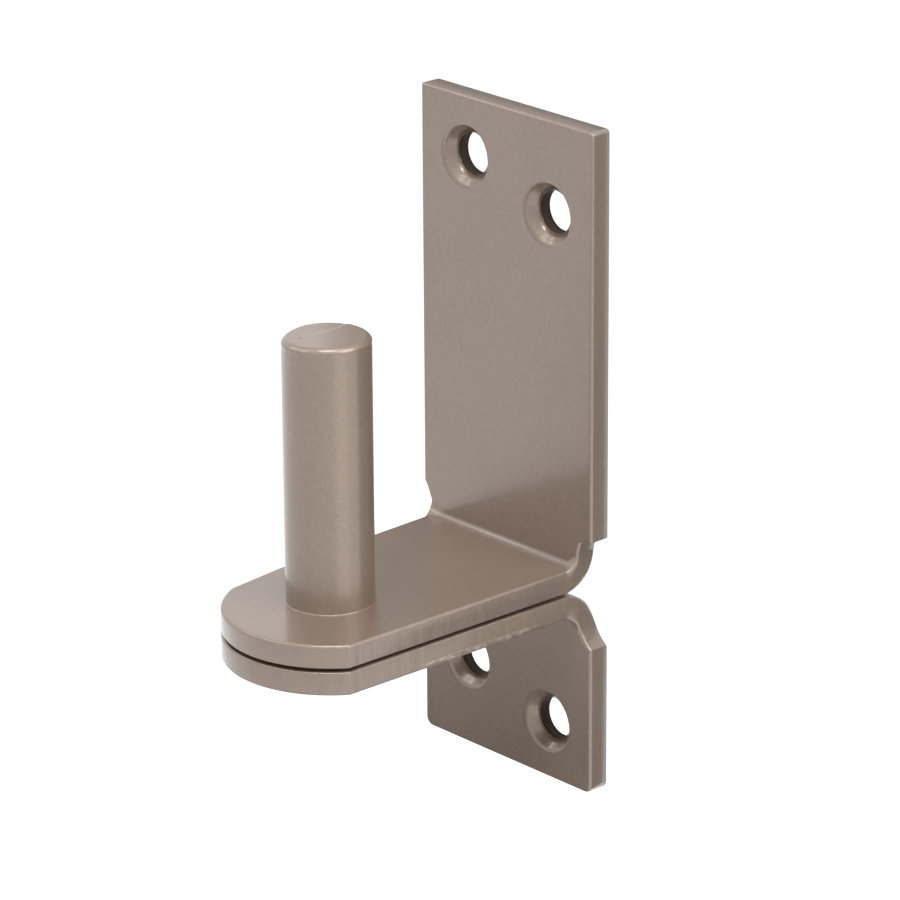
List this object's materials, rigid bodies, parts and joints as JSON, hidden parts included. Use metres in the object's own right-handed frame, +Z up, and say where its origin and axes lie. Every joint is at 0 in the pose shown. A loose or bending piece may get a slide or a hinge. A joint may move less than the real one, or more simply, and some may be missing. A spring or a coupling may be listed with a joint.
{
  "type": "plate-mounted pintle",
  "caption": "Upright hinge pin riveted through the stacked arms of two bent flat-steel brackets, whose countersunk plates screw to a wall or post to carry a gate or shutter eye.",
  "frame": {"origin": "on the pin's axis, at the bearing face where the pin leaves the upper arm", "axes": "+Z up along the pin towards its free end, +Y towards the wall that the plates stand against, X across the plates"},
  "size_m": [0.04, 0.0601, 0.1115],
  "materials": {
    "painted_steel": "fine metallic taupe paint, semi-gloss"
  },
  "bodies": {
    "root": {"upper_bracket": "painted_steel", "lower_bracket": "painted_steel", "pintle_pin": "painted_steel"}
  },
  "joints": []
}
